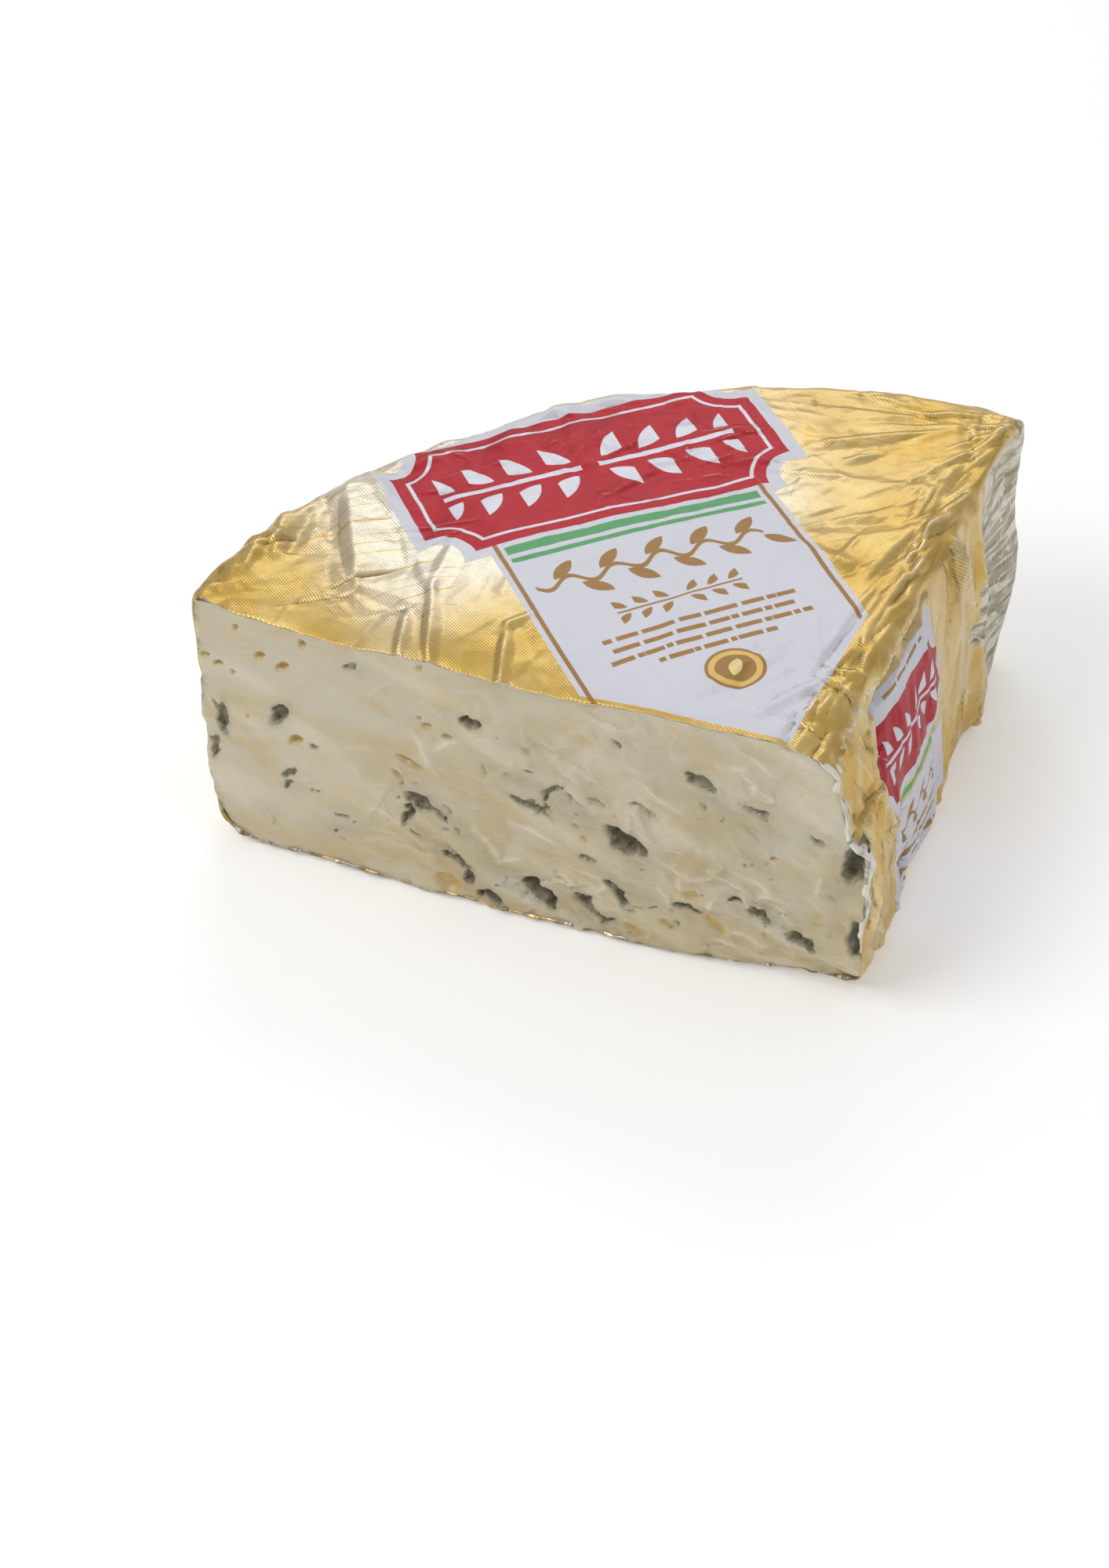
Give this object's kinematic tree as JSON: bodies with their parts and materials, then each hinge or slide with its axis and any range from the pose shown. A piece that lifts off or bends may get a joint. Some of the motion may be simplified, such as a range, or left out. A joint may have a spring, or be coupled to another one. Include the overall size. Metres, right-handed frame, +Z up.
{
  "type": "blue cheese wedge",
  "caption": "Quarter-round wedge of blue cheese, half a wheel high, wrapped in printed foil with one straight side cut open.",
  "frame": {"origin": "middle of the bounding box's underside, on the surface the wedge rests on", "axes": "+Z up; +X along the open cut face, from the rim towards the near corner; +Y from the cut face towards the back of the rim"},
  "size_m": [0.1626, 0.1382, 0.0705],
  "materials": {
    "cheese_paste": "soft moist ivory paste with blue-green mould pockets, stands in for cheese",
    "printed_foil": "thin crumpled aluminium foil laminated to paper, gold print with white, red and green panels"
  },
  "bodies": {
    "root": {"cheese": "cheese_paste", "foil_wrapper": "printed_foil"}
  },
  "joints": []
}
